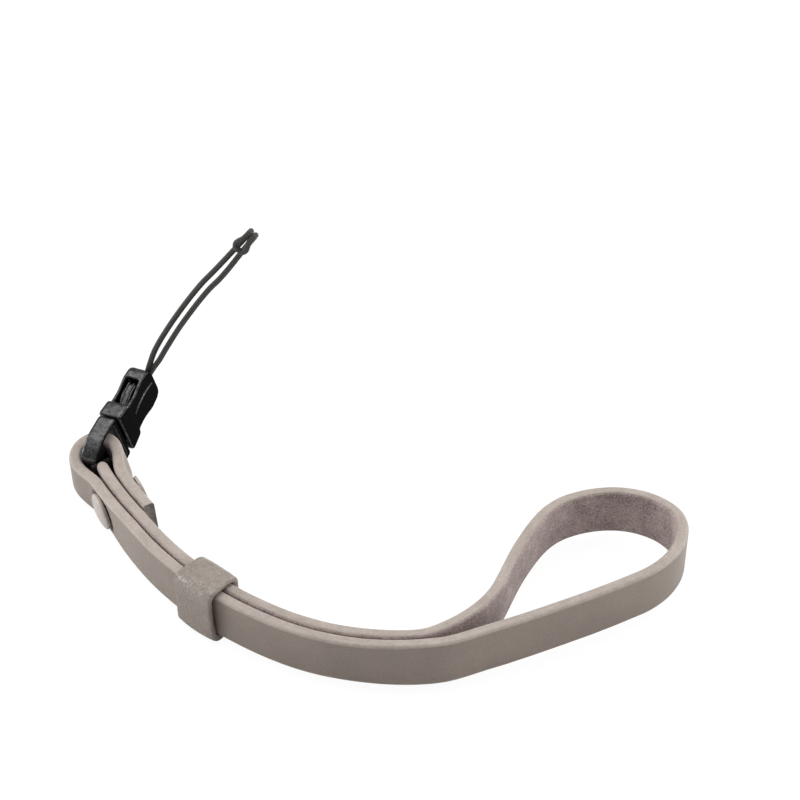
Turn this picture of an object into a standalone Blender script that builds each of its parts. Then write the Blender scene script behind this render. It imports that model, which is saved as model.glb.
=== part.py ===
# Wrist strap for a compact camera.
# One leather strip makes the hand loop: it folds round the bar of a small side-release buckle and is
# riveted back on itself, a leather keeper slides on the doubled run, and a thin cord with a
# lark's-head hitch joins the buckle's socket to the camera's lug.
# Metres, +Z up. The origin is the middle of the lug eye that the cord is hitched to.

import math

import bpy
import bmesh
import numpy as np
from mathutils import Matrix, Vector

for item in list(bpy.data.objects):
    bpy.data.objects.remove(item, do_unlink=True)

MM = 0.001
GAP = 0.3 * MM                      # clearance between pieces that touch

# Leather strip
STRIP_WIDTH = 9.2 * MM
STRIP_THICKNESS = 2.2 * MM
STRIP_EDGE_ROUND = 0.45 * MM
NECK_WIDTH = 8.2 * MM               # waisted where it passes between the buckle's arms
NECK_TAPER_LENGTH = 38 * MM         # from the bar back to the full width
TABLE_DROP = 48.5 * MM              # from the lug eye down to the strip's lower edge
RUN_LEAN = math.radians(5)          # the doubled run leans outwards

# Doubled run: two arcs seen from above, measured at the outer lower edge
FIRST_ARC_CENTRE = (28.0 * MM, -25.5 * MM)
FIRST_ARC_RADIUS = 41 * MM
SECOND_ARC_RADIUS = 71.1 * MM
LAYERS_PART_ANGLE = math.radians(-14)   # the two layers run together from here
ARCS_MEET_ANGLE = math.radians(27.1)
LEAN_FULL_ANGLE = math.radians(10)
NECK_START_ANGLE = math.radians(56)

# Hand loop seen from above, on the strip's outer face: x, y in mm, heading in degrees
HAND_LOOP_KNOTS = (
    (47.0, -61.4, 27), (62.9, -52.3, 31), (74.0, -45.0, 35), (82.4, -33.1, 76), (81.3, -23.9, 125),
    (70.5, -18.5, 180), (60.3, -21.7, 213), (51.4, -35.1, 247), (47.0, -47.9, 250), (38.5, -59.0, 218),
)
LOOP_END_ANGLE = math.radians(-8)

# Fold round the buckle's bar
FOLD_RADIUS = 4.0 * MM              # of the strip's middle surface
FOLD_SPREAD_LENGTH = 8 * MM         # over which the layers spread to that radius
FOLD_FLARE = math.radians(8)        # the fold's lower edge stands further out than its upper edge
FOLD_FLARE_LENGTH = 15 * MM         # over which the outer layer comes back from that
UNDERLAY_REACH = 2.8 * MM           # end of the middle layer, from the bar's axis
TAIL_REACH = 20.6 * MM             # cut end of the strip's tail, from the bar's axis

# Keeper
KEEPER_LENGTH = 9.0 * MM
KEEPER_THICKNESS = 1.1 * MM
KEEPER_CORNER = 2.0 * MM
KEEPER_ANGLE = math.radians(40.8)   # place along the second arc

# Rivet
RIVET_REACH = 11.5 * MM             # from the bar's axis along the strip
RIVET_CAP_RADIUS = 3.6 * MM
RIVET_CAP_HEIGHT = 1.4 * MM
RIVET_BACK_HEIGHT = 0.9 * MM
RIVET_RIM_HEIGHT = 0.5 * MM
RIVET_SINK = 0.3 * MM               # the front cap's seat is pressed this far into the leather
RIVET_POST_RADIUS = 1.3 * MM

# Buckle, in its own frame: X through its thickness, Y from the bar to the cord, Z across its width
BAR_CENTRE = (-27.15 * MM, -12.83 * MM, -43.1 * MM)
BUCKLE_HEADING = math.radians(67.3)
BUCKLE_CLIMB = math.radians(22.9)
BUCKLE_ROLL = math.radians(-3.65)
STRIP_TO_BUCKLE_TURN = math.radians(48)
PLUG_THICKNESS = 3.5 * MM
PLUG_HALF_WIDTH = 6.1 * MM
PLUG_FOOT = 1.8 * MM                # the arms' rounded ends reach this far past the bar's axis
BAR_HALF_DEPTH = 1.3 * MM
FOLD_OFFSET = (0.25 * MM, -0.6 * MM, -0.4 * MM)    # the fold hangs loose on the bar
STRIP_TWIST = math.radians(3)       # of the fold about the strip, against the bar
PLUG_EDGE_ROUND = 0.5 * MM
SLOT_HALF_WIDTH = NECK_WIDTH / 2 + 3 * GAP
SLOT_TOP = FOLD_RADIUS + STRIP_THICKNESS / 2 + 1.5 * GAP
PLUG_SHOULDER = SLOT_TOP + 1.05 * MM
SOCKET_MOUTH = PLUG_SHOULDER + GAP
COLLAR_TOP = 10.8 * MM
COLLAR_HALF_WIDTH = 5.5 * MM
COLLAR_THICKNESS = 4.8 * MM
WAIST_REACH = 13.4 * MM
WAIST_HALF_WIDTH = 3.8 * MM
SHOULDER_REACH = 16.6 * MM
SHOULDER_HALF_WIDTH = 4.5 * MM
SOCKET_TOP = 20.0 * MM
SOCKET_THICKNESS = 4.2 * MM
SOCKET_EDGE_ROUND = 0.75 * MM
SOCKET_WALL = 0.7 * MM
WINDOW_BOTTOM = 11.2 * MM
WINDOW_TOP = 16.8 * MM
PRONG_TIP = 16.3 * MM

# Cord
CORD_DIAMETER = 1.1 * MM
STRAND_SPACING = 1.75 * MM
MOUTH_SPACING = 1.3 * MM
POCKET_DEPTH = 2.6 * MM
EYE_RADIUS = 1.4 * MM               # of the cord's middle line round the lug
HITCH_DROP = 2.5 * MM               # from the lug eye down to the hitch's crossing
# Middle line between the two strands, hand-chosen, in mm, from just above the buckle to the hitch
CORD_ROUTE = (
    (-18.3, 3.4, -30.8), (-16.7, 3.0, -27.0), (-14.1, 2.5, -21.8),
    (-11.2, 2.0, -16.7), (-8.3, 1.5, -12.1), (-5.4, 1.0, -8.2),
)
CORD_FACING = Vector((-0.27, -0.94, 0.20)).normalized()   # the hitch's crossing faces this way

UP = Vector((0, 0, 1))
LAYER_PITCH = STRIP_THICKNESS + GAP
STRIP_FOOT = -TABLE_DROP


def collection(name):
    made = bpy.data.collections.new(name)
    bpy.context.scene.collection.children.link(made)
    return made


parts = collection("camera_wrist_strap")
cutters = collection("cutters")


def material(name, colour, roughness, metallic=0.0):
    made = bpy.data.materials.new(name)
    made.use_nodes = True
    shader = made.node_tree.nodes["Principled BSDF"]
    shader.inputs["Base Color"].default_value = (*colour, 1)
    shader.inputs["Roughness"].default_value = roughness
    shader.inputs["Metallic"].default_value = metallic
    return made


leather = material("leather", (0.205, 0.170, 0.152), 0.6)
keeperLeather = material("keeper_leather", (0.27, 0.235, 0.207), 0.6)
paintedMetal = material("painted_metal", (0.25, 0.22, 0.20), 0.35, 0.1)
blackPlastic = material("black_plastic", (0.02, 0.02, 0.02), 0.4)
blackCord = material("black_cord", (0.015, 0.015, 0.015), 0.8)


def addMesh(name, mesh, surface, group=parts):
    mesh.materials.clear()
    mesh.materials.append(surface)
    made = bpy.data.objects.new(name, mesh)
    group.objects.link(made)
    return made


def fromBmesh(name, shape):
    bmesh.ops.recalc_face_normals(shape, faces=shape.faces)
    mesh = bpy.data.meshes.new(name)
    shape.to_mesh(mesh)
    shape.free()
    return mesh


def bevel(target, width, segments=2, angle=math.radians(40)):
    edge = target.modifiers.new("rounded edges", "BEVEL")
    edge.width = width
    edge.segments = segments
    edge.limit_method = "ANGLE"
    edge.angle_limit = angle
    return edge


def solidify(target, thickness, offset=0.0):
    shell = target.modifiers.new("thickness", "SOLIDIFY")
    shell.thickness = thickness
    shell.offset = offset
    shell.use_even_offset = True
    return shell


def boolean(target, tool, operation="DIFFERENCE"):
    cut = target.modifiers.new(operation.lower(), "BOOLEAN")
    cut.object = tool
    cut.operation = operation
    cut.solver = "EXACT"
    tool.hide_render = True
    tool.display_type = "WIRE"
    for owner in list(tool.users_collection):
        owner.objects.unlink(tool)
    cutters.objects.link(tool)
    return cut


def smoothShade(target, angle=math.radians(35)):
    target.data.shade_smooth()
    target.data.set_sharp_from_angle(angle=angle)


def smoothStep(share):
    share = min(max(share, 0.0), 1.0)
    return share * share * (3 - 2 * share)


def hermite(start, startSlope, end, endSlope, share):
    s2, s3 = share * share, share ** 3
    return (start * (2 * s3 - 3 * s2 + 1) + startSlope * (s3 - 2 * s2 + share)
            + end * (3 * s2 - 2 * s3) + endSlope * (s3 - s2))


# Frames: each is a place, a direction along the strip and a direction across its width
buckleFrame = (Matrix.Translation(BAR_CENTRE)
               @ Matrix.Rotation(BUCKLE_HEADING - math.pi / 2, 4, "Z")
               @ Matrix.Rotation(BUCKLE_CLIMB, 4, "X")
               @ Matrix.Rotation(BUCKLE_ROLL, 4, "Y"))
buckleAxes = buckleFrame.to_3x3()
foldCentre = buckleFrame @ Vector(FOLD_OFFSET)
barAxis = buckleAxes @ Vector((0, 0, 1))
foldAlong = buckleAxes @ Vector((-math.sin(STRIP_TO_BUCKLE_TURN), math.cos(STRIP_TO_BUCKLE_TURN), 0))
foldAcross = Matrix.Rotation(STRIP_TWIST, 3, foldAlong) @ barAxis

# The spine is the middle surface of the inner layer, which the other layers are offset from
outerFace = LAYER_PITCH + STRIP_THICKNESS / 2
spineInset = outerFace * math.cos(RUN_LEAN) - (STRIP_WIDTH / 2) * math.sin(RUN_LEAN)
firstRadius = FIRST_ARC_RADIUS - spineInset
secondRadius = SECOND_ARC_RADIUS - spineInset


def outward(angle):
    return Vector((-math.sin(angle), -math.cos(angle), 0))


firstCentre = Vector((*FIRST_ARC_CENTRE, STRIP_FOOT))
secondCentre = firstCentre - outward(ARCS_MEET_ANGLE) * (secondRadius - firstRadius)


def runFrame(angle):
    out = outward(angle)
    onFirst = angle < ARCS_MEET_ANGLE
    centre, radius = (firstCentre, firstRadius) if onFirst else (secondCentre, secondRadius)
    lean = RUN_LEAN * smoothStep((angle - LAYERS_PART_ANGLE) / (LEAN_FULL_ANGLE - LAYERS_PART_ANGLE))
    height = (STRIP_WIDTH / 2) * math.cos(lean) + outerFace * math.sin(lean)
    along = Vector((-math.cos(angle), math.sin(angle), 0))
    across = out * math.sin(lean) + UP * math.cos(lean)
    return centre + out * radius + UP * height, along, across


neckStart, neckStartAlong, neckStartAcross = runFrame(NECK_START_ANGLE)
neckLength = (foldCentre - neckStart).length


def neckFrame(reach):
    # reach is the distance left to the bar's axis
    share = 1 - reach / neckLength
    place = hermite(neckStart, neckStartAlong * neckLength, foldCentre, foldAlong * neckLength, share)
    ahead = hermite(neckStart, neckStartAlong * neckLength, foldCentre, foldAlong * neckLength, share + 0.01)
    along = (ahead - place).normalized()
    across = neckStartAcross.lerp(foldAcross, smoothStep(share))
    across = (across - along * across.dot(along)).normalized()
    return place, along, across


def outSide(along, across):
    return across.cross(along).normalized()


def layerSpread(reach):
    share = smoothStep(1 - reach / FOLD_SPREAD_LENGTH)
    return LAYER_PITCH + (FOLD_RADIUS - LAYER_PITCH) * share


def neckWidth(reach):
    return NECK_WIDTH + (STRIP_WIDTH - NECK_WIDTH) * smoothStep(reach / NECK_TAPER_LENGTH)


def runWidth(angle):
    reach = neckLength + (NECK_START_ANGLE - angle) * secondRadius
    return neckWidth(reach)


def flared(place, across, normal, width, angle):
    # turns the strip about its upper edge, so that its lower edge moves along the normal
    lean = normal * math.sin(angle)
    return place + lean * (width / 2), (across * math.cos(angle) - lean).normalized(), width


def neckStations(side, fromReach, toReach, step=1.3 * MM):
    count = max(2, round(abs(fromReach - toReach) / step) + 1)
    for reach in np.linspace(fromReach, toReach, count):
        place, along, across = neckFrame(reach)
        normal = outSide(along, across)
        spread = side * (layerSpread(reach) if side else 0)
        flare = FOLD_FLARE * smoothStep(1 - reach / FOLD_FLARE_LENGTH) if side > 0 else 0
        yield flared(place + normal * spread, across, normal, neckWidth(reach), flare)


def runStations(side, fromAngle, toAngle, step=math.radians(2.4)):
    count = round(abs(toAngle - fromAngle) / step) + 1
    for angle in np.linspace(fromAngle, toAngle, count):
        place, along, across = runFrame(angle)
        yield place + outSide(along, across) * (side * LAYER_PITCH), across, runWidth(angle)


def foldStations(count=13):
    start, along, across = neckFrame(0)
    side = outSide(along, across)
    for turn in np.linspace(-math.pi / 2, math.pi / 2, count)[1:-1]:
        normal = side * math.sin(turn) + along * math.cos(turn)
        flare = FOLD_FLARE * smoothStep((turn + math.pi / 2) / (0.75 * math.pi))
        yield flared(start + normal * FOLD_RADIUS, across, normal, NECK_WIDTH, flare)


def loopKnots():
    height = STRIP_FOOT + STRIP_WIDTH / 2
    place, along, across = runFrame(LAYERS_PART_ANGLE)
    start = place + outSide(along, across) * LAYER_PITCH
    knots = [(Vector((start.x, start.y, height)), -LAYERS_PART_ANGLE)]
    for x, y, degrees in HAND_LOOP_KNOTS:
        heading = math.radians(degrees)
        inset = Vector((-math.sin(heading), math.cos(heading), 0)) * (STRIP_THICKNESS / 2)
        knots.append((Vector((x * MM, y * MM, height)) + inset, heading))
    place, along, across = runFrame(LOOP_END_ANGLE)
    knots.append((place, math.pi - LOOP_END_ANGLE))
    return knots


def loopStations(step=2.2 * MM):
    knots = loopKnots()
    for (start, startHeading), (end, endHeading) in zip(knots, knots[1:]):
        turn = endHeading - startHeading
        reach = (end - start).length * (1 + turn * turn / 24)
        startSlope = Vector((math.cos(startHeading), math.sin(startHeading), 0)) * reach
        endSlope = Vector((math.cos(endHeading), math.sin(endHeading), 0)) * reach
        count = max(3, round(reach / step))
        for share in np.arange(1, count + 1) / count:
            yield hermite(start, startSlope, end, endSlope, share), UP, STRIP_WIDTH


def stripStations():
    stations = list(neckStations(-1, TAIL_REACH, 0))
    stations += foldStations()
    stations += neckStations(1, 0, neckLength)
    stations += list(runStations(1, NECK_START_ANGLE, LAYERS_PART_ANGLE))[1:]
    stations += loopStations()
    stations += list(runStations(0, LOOP_END_ANGLE, NECK_START_ANGLE))[1:]
    stations += list(neckStations(0, neckLength, UNDERLAY_REACH))[1:]
    return stations


def handStrap():
    stations = stripStations()
    shape = bmesh.new()
    bmesh.ops.create_grid(shape, x_segments=len(stations) - 1, y_segments=1, size=0.5)
    shape.verts.ensure_lookup_table()
    for vert in shape.verts:
        place, across, width = stations[round((vert.co.x + 0.5) * (len(stations) - 1))]
        vert.co = place + across * (width / 2 * (1 if vert.co.y > 0 else -1))
    strap = addMesh("hand_strap", fromBmesh("hand_strap", shape), leather)
    solidify(strap, STRIP_THICKNESS)
    bevel(strap, STRIP_EDGE_ROUND, angle=math.radians(60))
    smoothShade(strap, math.radians(60))
    return strap


def rivetFrame():
    place, along, across = neckFrame(RIVET_REACH)
    out = outSide(along, across)
    frame = Matrix((along.cross(out), along, out)).transposed().to_4x4()
    frame.translation = place
    return frame


def turned(name, profile, surface, frame, segments=32):
    # profile runs from the axis out and back to the axis, as radius and height
    shape = bmesh.new()
    verts = [shape.verts.new((radius, 0, height)) for radius, height in profile]
    for first, second in zip(verts, verts[1:]):
        shape.edges.new((first, second))
    mesh = bpy.data.meshes.new(name)
    shape.to_mesh(mesh)
    shape.free()
    made = addMesh(name, mesh, surface)
    made.matrix_world = frame
    spin = made.modifiers.new("turn", "SCREW")
    spin.steps = segments
    spin.render_steps = segments
    spin.use_merge_vertices = True
    spin.merge_threshold = 0.00001
    return made


def capProfile(seat, side, height, post=0.0):
    # domed cap on its seat; side is +1 or -1 along the rivet's axis
    top = [(RIVET_CAP_RADIUS * math.sin(turn),
            seat + side * (RIVET_RIM_HEIGHT + (height - RIVET_RIM_HEIGHT) * math.cos(turn)))
           for turn in np.linspace(0, math.pi / 2, 8)]
    foot = [(RIVET_CAP_RADIUS - 0.2 * MM, seat)]
    if post:
        foot += [(RIVET_POST_RADIUS, seat), (RIVET_POST_RADIUS, post), (0, post)]
    else:
        foot += [(0, seat)]
    return top + foot


def rivet(strap):
    frame = rivetFrame()
    outer = layerSpread(RIVET_REACH) + STRIP_THICKNESS / 2
    bed = outer - RIVET_SINK
    front = turned("rivet_front_cap", capProfile(bed + GAP, 1, RIVET_CAP_HEIGHT), paintedMetal, frame)
    back = turned("rivet_back_cap", capProfile(-outer - GAP, -1, RIVET_BACK_HEIGHT, bed)[::-1], paintedMetal, frame)
    hole = RIVET_POST_RADIUS + GAP
    bedRadius = RIVET_CAP_RADIUS + GAP
    drill = turned("rivet_hole", [(0, 2 * outer), (bedRadius, 2 * outer), (bedRadius, bed), (hole, bed),
                                  (hole, -2 * outer), (0, -2 * outer)], paintedMetal, frame)
    boolean(strap, drill)
    for cap in (front, back):
        smoothShade(cap)


def roundedBox(halfWide, halfHigh, corner, steps=5):
    points = []
    for quarter, (wide, high) in enumerate(((1, 1), (-1, 1), (-1, -1), (1, -1))):
        for turn in np.linspace(0, math.pi / 2, steps):
            angle = quarter * math.pi / 2 + turn
            points.append((wide * (halfWide - corner) + corner * math.cos(angle),
                           high * (halfHigh - corner) + corner * math.sin(angle)))
    return points


def keeper():
    # an open sleeve round both layers, bent along the second arc, given its thickness outwards
    halfWide = (LAYER_PITCH + STRIP_THICKNESS) / 2 + GAP
    halfHigh = STRIP_WIDTH / 2 + GAP
    outline = roundedBox(halfWide, halfHigh, KEEPER_CORNER - KEEPER_THICKNESS)
    halfTurn = KEEPER_LENGTH / 2 / SECOND_ARC_RADIUS
    shape = bmesh.new()
    rows = []
    for angle in np.linspace(KEEPER_ANGLE - halfTurn, KEEPER_ANGLE + halfTurn, 7):
        place, along, across = runFrame(angle)
        out = outSide(along, across)
        middle = place + out * (LAYER_PITCH / 2)
        rows.append([shape.verts.new(middle + out * wide + across * high) for wide, high in outline])
    for first, second in zip(rows, rows[1:]):
        for index in range(len(outline)):
            after = (index + 1) % len(outline)
            shape.faces.new((first[index], first[after], second[after], second[index]))
    ring = addMesh("keeper", fromBmesh("keeper", shape), keeperLeather)
    solidify(ring, KEEPER_THICKNESS, 1.0)
    bevel(ring, 0.3 * MM, angle=math.radians(60))
    smoothShade(ring, math.radians(50))
    return ring


def flatPlate(name, outlines, thickness, surface):
    # outlines lie in the buckle's width and length and are smooth where radii are given
    curve = bpy.data.curves.new(name, "CURVE")
    curve.dimensions = "2D"
    curve.fill_mode = "BOTH"
    curve.extrude = thickness / 2
    for outline in outlines:
        spline = curve.splines.new("POLY")
        spline.points.add(len(outline) - 1)
        for point, (wide, along) in zip(spline.points, outline):
            point.co = (wide, along, 0, 1)
        spline.use_cyclic_u = True
    bare = bpy.data.objects.new(name, curve)
    parts.objects.link(bare)
    graph = bpy.context.evaluated_depsgraph_get()
    mesh = bpy.data.meshes.new_from_object(bare.evaluated_get(graph))
    bpy.data.objects.remove(bare, do_unlink=True)
    shape = bmesh.new()
    shape.from_mesh(mesh)
    bmesh.ops.remove_doubles(shape, verts=shape.verts, dist=0.000001)
    bmesh.ops.dissolve_limit(shape, angle_limit=math.radians(1), verts=shape.verts, edges=shape.edges)
    bmesh.ops.recalc_face_normals(shape, faces=shape.faces)
    shape.to_mesh(mesh)
    shape.free()
    made = addMesh(name, mesh, surface)
    made.matrix_world = buckleFrame @ Matrix.Rotation(-math.pi / 2, 4, "Y")
    return made


def rounded(corners, steps=4):
    # corners are (wide, along, radius); each is replaced by an arc tangent to its sides
    points = []
    for index, (wide, along, radius) in enumerate(corners):
        corner = Vector((wide, along))
        before = Vector(corners[index - 1][:2]) - corner
        after = Vector(corners[(index + 1) % len(corners)][:2]) - corner
        half = before.angle(after) / 2
        reach = min(radius / math.tan(half), before.length / 2.01, after.length / 2.01)
        radius = reach * math.tan(half)
        middle = corner + (before.normalized() + after.normalized()).normalized() * (radius / math.sin(half))
        first = corner + before.normalized() * reach - middle
        last = corner + after.normalized() * reach - middle
        swing = first.angle_signed(last)
        for share in np.linspace(0, 1, steps):
            turn = Matrix.Rotation(-swing * share, 2)
            points.append(tuple(middle + turn @ first))
    return points


def mirrored(half):
    # half outline on the +wide side, bottom to top, closed by its mirror image
    return list(half) + [(-wide, along, radius) for wide, along, radius in reversed(half)]


def frameBox(name, middle, size):
    shape = bmesh.new()
    bmesh.ops.create_cube(shape, size=1)
    bmesh.ops.scale(shape, vec=size, verts=shape.verts)
    bmesh.ops.translate(shape, vec=middle, verts=shape.verts)
    made = addMesh(name, fromBmesh(name, shape), blackPlastic)
    made.matrix_world = buckleFrame
    return made


def bucklePlug():
    body = rounded(mirrored([
        (PLUG_HALF_WIDTH - 1.0 * MM, -PLUG_FOOT, 2.4 * MM), (PLUG_HALF_WIDTH, 1.9 * MM, 5 * MM),
        (PLUG_HALF_WIDTH - 0.3 * MM, PLUG_SHOULDER, 0.5 * MM)]))
    slot = rounded(mirrored([(SLOT_HALF_WIDTH, BAR_HALF_DEPTH, 0.2 * MM),
                             (SLOT_HALF_WIDTH, SLOT_TOP, 0.6 * MM)]))
    plug = flatPlate("buckle_plug", [body, slot], PLUG_THICKNESS, blackPlastic)
    bevel(plug, PLUG_EDGE_ROUND, 3)
    guide = WAIST_HALF_WIDTH - SOCKET_WALL - GAP
    root = PLUG_SHOULDER + 1.6 * MM
    prongs = rounded(mirrored([
        (guide, PLUG_SHOULDER - 0.7 * MM, 0.1 * MM), (guide, WINDOW_BOTTOM - 0.3 * MM, 1.5 * MM),
        (WAIST_HALF_WIDTH - 0.1 * MM, WAIST_REACH + 0.6 * MM, 3 * MM),
        (SHOULDER_HALF_WIDTH - 0.8 * MM, PRONG_TIP, 0.8 * MM),
        (guide - 1.0 * MM, PRONG_TIP, 0.4 * MM), (guide - 0.8 * MM, WAIST_REACH, 1.5 * MM),
        (guide - 1.3 * MM, root, 0.4 * MM), (0.75 * MM, root, 0.3 * MM),
        (0.6 * MM, PRONG_TIP - 1.5 * MM, 0.4 * MM)]))
    tines = flatPlate("plug_prongs", [prongs], SOCKET_THICKNESS - 2 * SOCKET_WALL - 2 * GAP, blackPlastic)
    bevel(tines, 0.35 * MM, 2)
    boolean(plug, tines, "UNION")
    smoothShade(plug)
    return plug


def buckleSocket():
    body = rounded(mirrored([
        (WAIST_HALF_WIDTH + 0.5 * MM, SOCKET_MOUTH + 0.5 * MM, 0.2 * MM),
        (WAIST_HALF_WIDTH, WAIST_REACH, 5 * MM),
        (SHOULDER_HALF_WIDTH, SHOULDER_REACH, 2.5 * MM),
        (SHOULDER_HALF_WIDTH - 0.5 * MM, SOCKET_TOP, 2.2 * MM)]), 6)
    socket = flatPlate("buckle_socket", [body], SOCKET_THICKNESS, blackPlastic)
    bevel(socket, SOCKET_EDGE_ROUND, 3)
    collarOutline = rounded(mirrored([
        (COLLAR_HALF_WIDTH, SOCKET_MOUTH, 0.4 * MM),
        (COLLAR_HALF_WIDTH - 0.3 * MM, SOCKET_MOUTH + 1.7 * MM, 3 * MM),
        (WAIST_HALF_WIDTH + 0.9 * MM, COLLAR_TOP, 0.6 * MM)]))
    collar = flatPlate("socket_collar", [collarOutline], COLLAR_THICKNESS, blackPlastic)
    bevel(collar, SOCKET_EDGE_ROUND, 3)
    boolean(socket, collar, "UNION")
    depth = SOCKET_THICKNESS - 2 * SOCKET_WALL
    cavityTop = PRONG_TIP + 0.6 * MM
    cavityFoot = SOCKET_MOUTH - 1 * MM
    cavity = frameBox("socket_cavity", (0, (cavityTop + cavityFoot) / 2, 0),
                      (depth, cavityTop - cavityFoot, 2 * (WAIST_HALF_WIDTH - SOCKET_WALL)))
    boolean(socket, cavity)
    windows = frameBox("socket_windows", (0, (WINDOW_TOP + WINDOW_BOTTOM) / 2, 0),
                       (depth, WINDOW_TOP - WINDOW_BOTTOM, 3 * SHOULDER_HALF_WIDTH))
    boolean(socket, windows)
    pocket = frameBox("cord_pocket", (0, SOCKET_TOP - POCKET_DEPTH / 2 + 0.5 * MM, 0),
                      (CORD_DIAMETER + 2 * GAP, POCKET_DEPTH + 1 * MM,
                       MOUTH_SPACING + CORD_DIAMETER + 2 * GAP))
    boolean(socket, pocket)
    smoothShade(socket)
    return socket


def smoothThrough(points, step):
    # Catmull-Rom curve through the points, read off every step
    ends = [points[0] * 2 - points[1], *points, points[-1] * 2 - points[-2]]
    fine = []
    for index in range(1, len(ends) - 2):
        a, b, c, d = ends[index - 1:index + 3]
        for share in np.linspace(0, 1, 12, endpoint=False):
            fine.append(hermite(b, (c - a) / 2, c, (d - b) / 2, share))
    fine.append(points[-1])
    lengths = np.concatenate(([0], np.cumsum([(q - p).length for p, q in zip(fine, fine[1:])])))
    count = max(2, round(lengths[-1] / step)) + 1
    wanted = np.linspace(0, lengths[-1], count)
    return [Vector([float(np.interp(at, lengths, [p[axis] for p in fine])) for axis in range(3)])
            for at in wanted]


def cordPoints():
    route = [Vector(point) * MM for point in CORD_ROUTE]
    top = buckleFrame @ Vector((0, SOCKET_TOP, 0))
    inside = buckleFrame @ Vector((0, SOCKET_TOP - POCKET_DEPTH + GAP, 0))
    hitchAlong = (-route[-1]).normalized()
    facing = (CORD_FACING - hitchAlong * CORD_FACING.dot(hitchAlong)).normalized()
    sideways = hitchAlong.cross(facing)

    def hitch(wide, front, along):
        return sideways * wide + facing * front + hitchAlong * along

    def strand(side):
        rising = [route[index + 1] - route[index] for index in range(len(route) - 1)] + [-route[-1]]
        outer = [inside - barAxis * (side * MOUTH_SPACING / 2),
                 top - barAxis * (side * MOUTH_SPACING / 2)]
        for place, direction in zip(route, rising):
            spread = STRAND_SPACING if place is not route[0] else (STRAND_SPACING + MOUTH_SPACING) / 2
            outer.append(place + direction.cross(CORD_FACING).normalized() * (side * spread / 2))
        return outer

    def tail(side):
        return [hitch(side * 0.62 * MM, -0.5 * EYE_RADIUS, -HITCH_DROP)]

    def wrap(side):
        return [hitch(side * 0.85 * MM, -EYE_RADIUS, 0), hitch(side * 1.05 * MM, 0, EYE_RADIUS),
                hitch(side * 1.3 * MM, EYE_RADIUS, 0), hitch(side * 1.35 * MM, EYE_RADIUS, -HITCH_DROP + 0.9 * MM)]

    crossing = [hitch(-0.75 * MM, EYE_RADIUS, -HITCH_DROP), hitch(0.75 * MM, EYE_RADIUS, -HITCH_DROP)]
    return strand(-1), tail(-1) + wrap(-1) + crossing + wrap(1)[::-1] + tail(1), strand(1)[::-1]


def cord():
    first, hitch, second = cordPoints()
    up = smoothThrough(first + hitch[:1], 2.6 * CORD_DIAMETER)
    knot = smoothThrough(hitch, 0.75 * CORD_DIAMETER)
    down = smoothThrough(hitch[-1:] + second, 2.6 * CORD_DIAMETER)
    points = up[:-1] + knot + down[1:]
    curve = bpy.data.curves.new("cord_loop", "CURVE")
    curve.dimensions = "3D"
    curve.bevel_depth = CORD_DIAMETER / 2
    curve.bevel_resolution = 2
    curve.use_fill_caps = True
    spline = curve.splines.new("POLY")
    spline.points.add(len(points) - 1)
    for point, place in zip(spline.points, points):
        point.co = (*place, 1)
    curve.materials.append(blackCord)
    made = bpy.data.objects.new("cord_loop", curve)
    parts.objects.link(made)
    return made


strap = handStrap()
rivet(strap)
keeper()
bucklePlug()
buckleSocket()
cord()
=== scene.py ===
# Leather wrist strap on a white studio floor

import math

import bpy
import numpy as np
from mathutils import Matrix, Vector, noise


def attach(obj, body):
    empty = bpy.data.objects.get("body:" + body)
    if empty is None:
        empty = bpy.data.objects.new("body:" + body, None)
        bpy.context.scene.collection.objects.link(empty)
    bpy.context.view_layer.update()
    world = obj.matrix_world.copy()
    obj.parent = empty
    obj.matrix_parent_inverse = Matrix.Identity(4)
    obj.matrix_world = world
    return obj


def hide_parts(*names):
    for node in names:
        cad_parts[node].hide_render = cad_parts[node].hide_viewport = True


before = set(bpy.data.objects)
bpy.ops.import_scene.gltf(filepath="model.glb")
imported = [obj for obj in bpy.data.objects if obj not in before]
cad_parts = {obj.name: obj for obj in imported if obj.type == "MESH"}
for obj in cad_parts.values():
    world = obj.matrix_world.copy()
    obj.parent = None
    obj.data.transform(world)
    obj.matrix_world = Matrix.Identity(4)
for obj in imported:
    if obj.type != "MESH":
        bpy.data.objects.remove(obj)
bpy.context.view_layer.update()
print("frame loaded")

mm = 0.001
up = Vector((0, 0, 1))
fullTurn = 2 * math.pi


# Camera

camera = {"place": (0.0290, -0.4126, 0.2593), "pitch": 54.5, "roll": 2.5, "lens": 119.25, "sensor": 36,
          "near": 0.01}


def addCamera():
    bpy.ops.object.camera_add()
    view = bpy.context.object
    view.name = "studioCamera"
    view.data.lens = camera["lens"]
    view.data.sensor_width = camera["sensor"]
    view.data.clip_start = camera["near"]
    pitch = Matrix.Rotation(math.radians(camera["pitch"]), 4, "X")
    roll = Matrix.Rotation(math.radians(camera["roll"]), 4, "Z")
    view.matrix_world = Matrix.Translation(camera["place"]) @ (pitch @ roll)
    bpy.context.scene.camera = view


addCamera()
print("camera placed")


# Materials

class Wire:
    # a node's output that can be added, taken away and multiplied
    def __init__(self, paint, socket):
        self.paint = paint
        self.socket = socket

    def join(self, operation, first, second):
        return self.paint.add("ShaderNodeMath", {"operation": operation}, (first, second))

    def __add__(self, other):
        return self.join("ADD", self, other)

    def __radd__(self, other):
        return self.join("ADD", other, self)

    def __sub__(self, other):
        return self.join("SUBTRACT", self, other)

    def __rsub__(self, other):
        return self.join("SUBTRACT", other, self)

    def __mul__(self, other):
        return self.join("MULTIPLY", self, other)

    def __rmul__(self, other):
        return self.join("MULTIPLY", other, self)


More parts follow.
